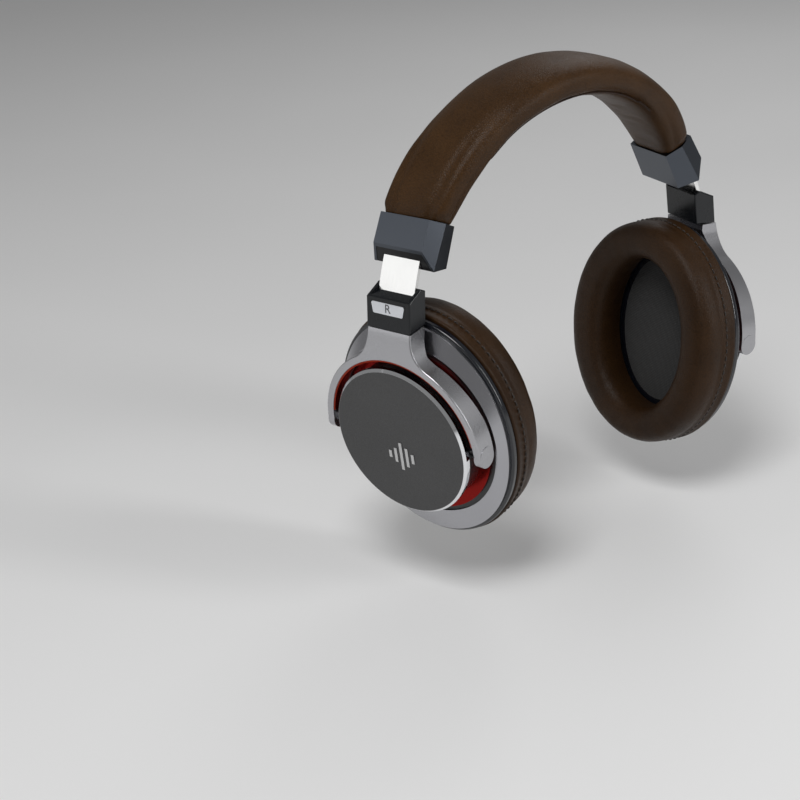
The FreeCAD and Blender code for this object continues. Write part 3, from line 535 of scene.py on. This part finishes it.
# ---- Ear pads and driver cloths (mm) -------------------------------------------------------------
# Section of the pad: share of the way from opening to outer edge, and height above the cup's rim (mm)
PAD_PROFILE = [
    (0.972, 0.15), (0.985, 2.4), (0.968, 4.9), (0.948, 5.7), (0.975, 6.8), (0.993, 9.6), (0.965, 13.0),
    (0.87, 16.2), (0.70, 17.7), (0.50, 18.0), (0.30, 17.4), (0.13, 15.2), (0.05, 11.6), (0.05, 7.0),
    (0.10, 3.0), (0.17, 0.6), (0.45, 0.15), (0.75, 0.15),
]
SEAM_HEIGHT = 5.7
SEAM_SHARE = 0.948
PAD_ROUND = 200
PAD_SECTION = 72
PAD_SWELL = 0.9
PAD_TRAVEL = 0.99
PAD_PUCKER = 0.16
STITCH_PITCH = 2.9
STITCH_LENGTH = 1.7
STITCH_RADIUS = 0.22
STITCH_BELOW_SEAM = 0.75
STITCH_PROUD = 0.006  # this and the rise are shares of the way across the pad
STITCH_RISE = 0.012
STITCH_STEPS = 5
CLOTH_TUCK = 0.9
CLOTH_DOME = 1.1
CLOTH_LIFT = 1.5
CLOTH_RINGS = 14
CLOTH_SPOKES = 96


def pad_point(ear, turn, share, height):
    """A point of the pad; share runs from its opening to its outer edge, and height from the cup's rim."""
    y_reach = PAD_OPEN_HALF_WIDTH + (PAD_HALF_WIDTH - PAD_OPEN_HALF_WIDTH) * share
    z_reach = PAD_OPEN_HALF_HEIGHT + (PAD_HALF_HEIGHT - PAD_OPEN_HALF_HEIGHT) * share
    return ear.point(RIM_BACK + height, y_reach * math.cos(turn), z_reach * math.sin(turn) - OVAL_DROP)


def pad_hold(height, share):
    """How firmly the pad's leather is held: fully at its foot and at the sewn seam."""
    foot = 1.0 - smoothstep(0.4, 1.4, height)
    seam = (1.0 - smoothstep(0.3, 1.2, abs(height - SEAM_HEIGHT))) if share > 0.8 else 0.0
    return max(foot, seam)


def ear_pad(side, material):
    """The pad's leather: its section swept round the oval, drawn in, and swelled by simulation."""
    ear = EARS[side]
    width = PAD_HALF_WIDTH - PAD_OPEN_HALF_WIDTH
    scaled = smooth_loop([(share * width, height) for share, height in PAD_PROFILE], PAD_SECTION)
    middle = Vector((width / 2, PAD_THICKNESS / 2))
    verts, held = [], []
    for step in range(PAD_ROUND):
        turn = 2 * math.pi * step / PAD_ROUND
        for point in scaled:
            hold = pad_hold(point.y, point.x / width)
            drawn = point + (middle - point).normalized() * PAD_SWELL * (1 - hold)
            place = Vector((math.cos(turn) * 9, math.sin(turn) * 9, point.y * 0.35))
            pucker = PAD_PUCKER * noise.noise(place)
            drawn += (middle - point).normalized() * pucker * (1 - hold)
            verts.append(pad_point(ear, turn, drawn.x / width, drawn.y))
            held.append(hold)
    faces = grid_faces(PAD_ROUND, PAD_SECTION, True)
    pad = make_object("ear_pad_" + side, verts, faces, "cup_" + side, material)
    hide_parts("ear_pad_cover_" + side, "ear_pad_foam_" + side)
    puff(pad, held, PAD_TRAVEL * MM)
    subdivided(pad)
    return pad


def pad_stitches(side, material):
    """Short thread stitches along the pad's sewn seam."""
    ear = EARS[side]
    girth = math.pi * (PAD_HALF_WIDTH + PAD_HALF_HEIGHT)
    count = round(girth / STITCH_PITCH)
    verts, faces = [], []
    for index in range(count):
        path = []
        for step in range(STITCH_STEPS):
            share = step / (STITCH_STEPS - 1)
            turn = 2 * math.pi * (index + (share - 0.5) * STITCH_LENGTH / STITCH_PITCH) / count
            lift = STITCH_RISE * math.sin(math.pi * share)
            reach = SEAM_SHARE + STITCH_PROUD + lift
            path.append(pad_point(ear, turn, reach, SEAM_HEIGHT - STITCH_BELOW_SEAM))
        more_verts, more_faces = tube(path, STITCH_RADIUS * MM, 8, False)
        faces.extend(tuple(corner + len(verts) for corner in face) for face in more_faces)
        verts.extend(more_verts)
    return make_object("pad_stitches_" + side, verts, faces, "cup_" + side, material)


def ear_cloth(side, material):
    """Cloth stretched over the driver opening, its edge tucked under the pad."""
    ear = EARS[side]
    half_width, half_height = PAD_OPEN_HALF_WIDTH + CLOTH_TUCK, PAD_OPEN_HALF_HEIGHT + CLOTH_TUCK
    verts = [ear.point(RIM_BACK + CLOTH_LIFT, 0.0, -OVAL_DROP)]
    for step in range(1, CLOTH_RINGS + 1):
        reach = step / CLOTH_RINGS
        dome = CLOTH_LIFT - CLOTH_DOME * reach ** 2.2
        for index in range(CLOTH_SPOKES):
            turn = 2 * math.pi * index / CLOTH_SPOKES
            y, z = half_width * reach * math.cos(turn), half_height * reach * math.sin(turn)
            verts.append(ear.point(RIM_BACK + dome, y, z - OVAL_DROP))
    faces = [(0, 1 + index, 1 + (index + 1) % CLOTH_SPOKES) for index in range(CLOTH_SPOKES)]
    for face in grid_faces(CLOTH_RINGS, CLOTH_SPOKES, False):
        faces.append(tuple(corner + 1 for corner in face))
    sheet = make_object("ear_cloth_sheet_" + side, verts, faces, "cup_" + side, material)
    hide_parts("ear_cloth_" + side)
    return sheet


# ---- Headband (mm and degrees) -------------------------------------------------------------------
BAND_STEPS = 160
BAND_SECTION = 88
BAND_SWELL = 0.45
BAND_TRAVEL = 0.675
BAND_PUCKER = 0.2
PUCKER_SCALE = 120.0
SQUARENESS = 2.5
END_SQUARENESS_RISE = 1.5
CROWN_ROUNDING = 0.06
LEATHER_END_ANGLE = 65.2
TUCK = 0.3
CREASE_ACROSS = 9.2
CREASE_SPREAD = 5.0
CREASE_DEPTH = 0.6
CREASE_WIDTH = 1.5
LOBE_GAP = 3.2
LOBE_RISE = 1.4
LOBE_WIDTH = 2.4
CREASE_FADE_FROM = 26.0
SEAM_RADIAL = -0.66
SEAM_INSIDE = 0.7
SEAM_SUNK = 0.5
SEAM_END_ANGLE = 46.0
PIPING_R = 0.38
PIPING_SUNK = 0.6
PIPING_END_SUNK = 1.4


def band_point(angle, across, radial):
    """A point on the band: across and radial are shares, -1 to 1, of half width and half thickness."""
    share = abs(angle) / BAND_END_ANGLE
    half_width = CROWN_HALF_WIDTH + (END_HALF_WIDTH - CROWN_HALF_WIDTH) * share ** 2
    half_thick = (CROWN_THICKNESS + (END_THICKNESS - CROWN_THICKNESS) * share ** 2) / 2
    twist = Matrix.Rotation(-math.copysign(math.radians(TOE) * share ** 3, angle), 3, "Z")
    outward = Vector((math.sin(math.radians(angle)), 0.0, math.cos(math.radians(angle))))
    shift = Vector((0.0, BAND_END_SHIFT * share ** 2, BAND_CENTRE_Z))
    middle = outward * (BAND_OUTER_R - half_thick) + shift
    sideways = twist @ Vector((0.0, across * half_width, 0.0))
    return (middle + sideways + twist @ outward * radial * half_thick) * MM


def band_outline(angle, index):
    """One point of the padded outline: six-sided beside the caps, rounder and domed at the crown."""
    share = abs(angle) / BAND_END_ANGLE
    boxy = smoothstep(0.35, 1.0, share)
    power = 2 / (SQUARENESS + END_SQUARENESS_RISE * boxy)
    across, radial = superpoint(2 * math.pi * index / BAND_SECTION, power)
    narrow = 1.0 - (1.0 - END_FACE_HALF / END_HALF_WIDTH) * smoothstep(0.0, 1.0, radial)
    across *= 1.0 + (narrow - 1.0) * boxy
    across *= 1.0 - CROWN_ROUNDING * (1.0 - boxy) * smoothstep(0.2, 1.0, abs(radial))
    return across, radial


def band_fold(angle, across, radial, gap, width):
    """Share of a fold that starts at the cap's corner and dies out up the band, gap outside the crease."""
    share = abs(angle) / BAND_END_ANGLE
    half_width = CROWN_HALF_WIDTH + (END_HALF_WIDTH - CROWN_HALF_WIDTH) * share ** 2
    if radial < 0.0:
        return 0.0
    place = CREASE_ACROSS + CREASE_SPREAD * (1 - share) + gap
    aside = (abs(across) * half_width - place) / width
    return math.exp(-aside * aside) * smoothstep(CREASE_FADE_FROM, BAND_END_ANGLE - 4, abs(angle))


def headband(material):
    """The headband's leather: swelled by simulation, then folded beside the end caps."""
    verts, held, folds = [], [], []
    for step in range(BAND_STEPS + 1):
        angle = -LEATHER_END_ANGLE + 2 * LEATHER_END_ANGLE * step / BAND_STEPS
        end = smoothstep(BAND_END_ANGLE - 2.5, BAND_END_ANGLE, abs(angle))
        sewn = 1.0 - smoothstep(SEAM_END_ANGLE - 10.0, SEAM_END_ANGLE, abs(angle))
        for index in range(BAND_SECTION):
            across, radial = band_outline(angle, index)
            crease = band_fold(angle, across, radial, 0.0, CREASE_WIDTH)
            lobe = band_fold(angle, across, radial, LOBE_GAP, LOBE_WIDTH)
            seam = sewn * (1.0 - smoothstep(0.03, 0.12, abs(radial - SEAM_RADIAL)))
            if abs(across) <= SEAM_INSIDE:
                seam = 0.0
            point = band_point(angle, across, radial)
            inward = (band_point(angle, 0.0, 0.0) - point).normalized()
            down = (band_point(angle, across, -1.0) - point).normalized()
            pucker = BAND_PUCKER * noise.noise(point * PUCKER_SCALE) * (1 - end)
            drawn = BAND_SWELL + TUCK * end + SEAM_SUNK * seam + pucker
            verts.append(point + inward * drawn * MM)
            held.append(max(end, seam))
            raised = inward * LOBE_RISE * lobe * (1 - 0.8 * end)
            folds.append((down * CREASE_DEPTH * crease - raised) * MM)
    faces = grid_faces(BAND_STEPS + 1, BAND_SECTION, False)
    faces.append(tuple(range(BAND_SECTION)))
    faces.append(tuple(range(BAND_STEPS * BAND_SECTION, (BAND_STEPS + 1) * BAND_SECTION)))
    band = make_object("headband_leather", verts, faces, "headband", material)
    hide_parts("headband_cover", "headband_foam")
    puff(band, held, BAND_TRAVEL * MM)
    for vertex, fold in zip(band.data.vertices, folds):
        vertex.co += fold
    subdivided(band)
    return band


def headband_piping(name, side, material):
    """Thin leather cord sewn into the seam along one inner edge of the band."""
    path = []
    for step in range(BAND_STEPS + 1):
        angle = -SEAM_END_ANGLE + 2 * SEAM_END_ANGLE * step / BAND_STEPS
        outline = [band_outline(angle, index) for index in range(BAND_SECTION)]
        near = [pair for pair in outline if pair[0] * side > 0]
        across, radial = min(near, key=lambda pair: abs(pair[1] - SEAM_RADIAL))
        point = band_point(angle, across, radial)
        inward = (band_point(angle, 0.0, 0.0) - point).normalized()
        end = smoothstep(SEAM_END_ANGLE - 8.0, SEAM_END_ANGLE, abs(angle))
        sunk = PIPING_SUNK + PIPING_END_SUNK * end
        path.append(point + inward * sunk * MM)
    verts, faces = tube(path, PIPING_R * MM, 10, False)
    return make_object(name, verts, faces, "headband", material)


# ---- Letters on the side plates (mm) -------------------------------------------------------------
LETTER_SIZE = 4.6
LETTER_THICKNESS = 0.04


def side_letter(side, material):
    """The letter of the side, on the leaning side plate."""
    arm = Arm(side)
    text = bpy.data.curves.new("letter_" + side, "FONT")
    text.body = side[0].upper()
    text.size = LETTER_SIZE * MM
    text.extrude = LETTER_THICKNESS * MM
    text.align_x = "CENTER"
    text.align_y = "CENTER"
    shown = bpy.data.objects.new("letter_text_" + side, text)
    bpy.context.collection.objects.link(shown)
    mesh = bpy.data.meshes.new_from_object(shown.evaluated_get(bpy.context.evaluated_depsgraph_get()))
    bpy.data.objects.remove(shown)
    up = (arm.up * math.cos(PLATE_LEAN) - arm.outward * math.sin(PLATE_LEAN)).normalized()
    out = (arm.outward * math.cos(PLATE_LEAN) + arm.up * math.sin(PLATE_LEAN)).normalized()
    right = up.cross(out)
    turn = Matrix([[column[row] for column in (right, up, out)] for row in range(3)]).to_4x4()
    centre = arm.origin + (arm.up * PLATE_HEIGHT - arm.outward * PLATE_DEPTH + out * PLATE_PROUD) * MM
    mesh.transform(Matrix.Translation(centre) @ turn)
    letter = bpy.data.objects.new("side_letter_" + side, mesh)
    bpy.context.collection.objects.link(letter)
    mesh.materials.clear()
    mesh.materials.append(material)
    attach(letter, "slider_" + side)


# ---- Finishes for the CAD nodes ------------------------------------------------------------------
def dress(node, material):
    piece = frame["nodes"][node]
    for slot in piece.material_slots:
        slot.material = material


def dress_nodes():
    """Finish the CAD nodes; those not named are screws, pins and clips, or pieces stand for them."""
    finishes = {
        "headband_spring": plain_metal("spring_steel", (0.6, 0.6, 0.62), 0.3),
        "signal_lead": plastic("lead_jacket", (0.02, 0.02, 0.02), 0.5),
        "end_cap": plain_metal("cap_blue_grey", (0.085, 0.094, 0.110), 0.30),
        "slider_guide": plastic("guide_black", (0.004, 0.004, 0.005), 0.4, Specular_IOR_Level=0.25),
        "detent_spring": plain_metal("detent_steel", (0.6, 0.6, 0.62), 0.3),
        "screw": plain_metal("screw_steel", (0.22, 0.22, 0.23), 0.34),
        "slider_strip": plain_metal(
            "strip_steel", (0.80, 0.80, 0.79), 0.24, 0.1, (200.0, 2600.0, 200.0), 0.000006,
        ),
        "hinge_block": plastic(
            "block_black", (0.0035, 0.0045, 0.006), 0.26, 2600.0, 0.000003, Specular_IOR_Level=0.4,
        ),
        "side_plate": plain_metal("plate_silver", (0.78, 0.80, 0.84), 0.32),
        "yoke": plain_metal("yoke_silver", (0.46, 0.46, 0.48), 0.28),
        "yoke_liner": plain_metal("liner_red", (0.30, 0.030, 0.012), 0.3),
        "cup_housing": plain_metal("dish_silver", (0.44, 0.44, 0.465), 0.26),
        "back_drum": plastic("drum_grey", (0.012, 0.012, 0.013), 0.3, 2600.0, 0.000004),
        "accent_ring": plain_metal("accent_red", (0.24, 0.008, 0.006), 0.26),
        "cap_emblem": plain_metal("emblem_grey", (0.6, 0.6, 0.6), 0.35),
        "baffle": plastic(
            "baffle_black", (0.004, 0.005, 0.008), 0.22, 2600.0, 0.000003, Coat_Weight=0.4,
        ),
        "driver_frame": plastic("frame_black", (0.02, 0.02, 0.02), 0.45),
        "driver_magnet": plain_metal("magnet", (0.45, 0.45, 0.45), 0.35),
        "driver_diaphragm": plastic("diaphragm", (0.35, 0.33, 0.28), 0.3),
        "driver_grille": plain_metal("grille_black", (0.03, 0.03, 0.03), 0.5),
        "jack_socket": plastic("jack_black", (0.012, 0.012, 0.013), 0.4),
        "jack_board": plastic("board_green", (0.02, 0.1, 0.04), 0.4),
    }
    for side in SIDES:
        finishes["outer_cap_" + side] = cap_disc_metal("disc_gunmetal_" + side, EARS[side])
    for node in frame["nodes"]:
        for key in (node, node.rsplit("_", 1)[0]):
            if key in finishes:
                dress(node, finishes[key])
                break
        else:
            dress(node, finishes["screw"])


add_camera()
add_lights()
add_floor()
dress_nodes()
leather_brown = leather("brown_leather", (0.038, 0.0165, 0.0042), (0.060, 0.0270, 0.0075), 0.40)
# Pad leather: the band's leather with painted shade, made darker to stand for the shade that falls on the
# pads; the real pads are the same leather as the band.
pad_brown_painted_shade = leather("pad_leather_painted_shade", (0.024, 0.0108, 0.0036), (0.040, 0.0182, 0.0060), 0.40)
piping_brown = leather("piping_leather", (0.020, 0.008, 0.003), (0.032, 0.013, 0.005), 0.4)
thread = cloth("thread", (0.010, 0.006, 0.004), (0.03, 0.018, 0.011))
mesh_cloth = cloth("ear_mesh", (0.004, 0.004, 0.004), (0.022, 0.021, 0.02))
letter_grey = plain_metal("letter_grey", (0.10, 0.10, 0.11), 0.4)
headband(leather_brown)
headband_piping("headband_piping_front", -1, piping_brown)
headband_piping("headband_piping_back", 1, piping_brown)
for side in SIDES:
    ear_pad(side, pad_brown_painted_shade)
    pad_stitches(side, thread)
    ear_cloth(side, mesh_cloth)
    side_letter(side, letter_grey)
